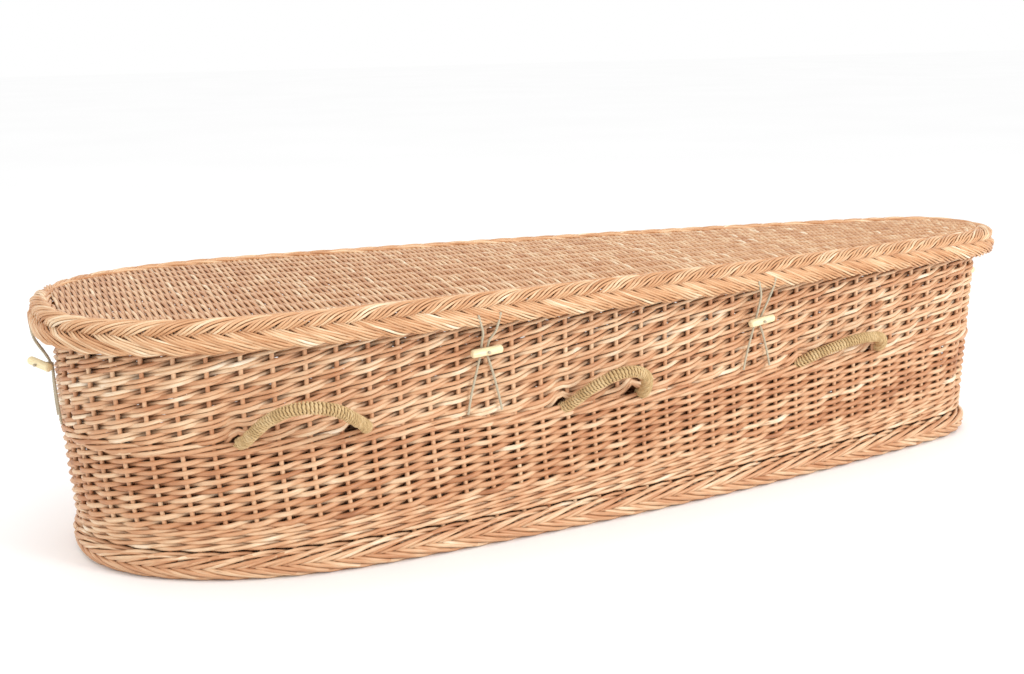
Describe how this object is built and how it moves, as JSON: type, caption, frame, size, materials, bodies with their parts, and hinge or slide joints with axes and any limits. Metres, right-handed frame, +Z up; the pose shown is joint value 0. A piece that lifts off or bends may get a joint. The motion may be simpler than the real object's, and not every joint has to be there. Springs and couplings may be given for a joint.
{
  "type": "wicker casket",
  "caption": "Long hollow woven willow casket with a round head end, a narrower foot end, a plaited lift-off lid, rope handles and wooden toggles.",
  "frame": {"origin": "on the ground, under the middle of the whole length and width", "axes": "+X along the length towards the narrow foot end, the round head end at -X; the front long side faces -Y; +Z up"},
  "size_m": [2.0198, 0.7844, 0.452],
  "materials": {
    "willow_basket": "buff willow rods, boiled and peeled, satin",
    "willow_lid": "buff willow rods, boiled and peeled, satin",
    "seagrass_rope": "twisted seagrass cord wound over a rope core, matte",
    "peeled_wood": "peeled white wood, smooth, matte",
    "twine": "two-ply natural twine, matte"
  },
  "bodies": {
    "root": {"basket": "willow_basket", "lid": "willow_lid", "handle_front_head": "seagrass_rope", "handle_front_middle": "seagrass_rope", "handle_front_foot": "seagrass_rope", "handle_back_head": "seagrass_rope", "handle_back_middle": "seagrass_rope", "handle_back_foot": "seagrass_rope", "toggle_front_head_side": "peeled_wood", "toggle_front_foot_side": "peeled_wood", "toggle_back_head_side": "peeled_wood", "toggle_back_foot_side": "peeled_wood", "toggle_head_end": "peeled_wood", "toggle_foot_end": "peeled_wood", "basket_twine_front_head_side": "twine", "basket_twine_front_foot_side": "twine", "basket_twine_back_head_side": "twine", "basket_twine_back_foot_side": "twine", "basket_twine_head_end": "twine", "basket_twine_foot_end": "twine", "lid_twine_front_head_side": "twine", "lid_twine_front_foot_side": "twine", "lid_twine_back_head_side": "twine", "lid_twine_back_foot_side": "twine", "lid_twine_head_end": "twine", "lid_twine_foot_end": "twine"}
  },
  "joints": []
}
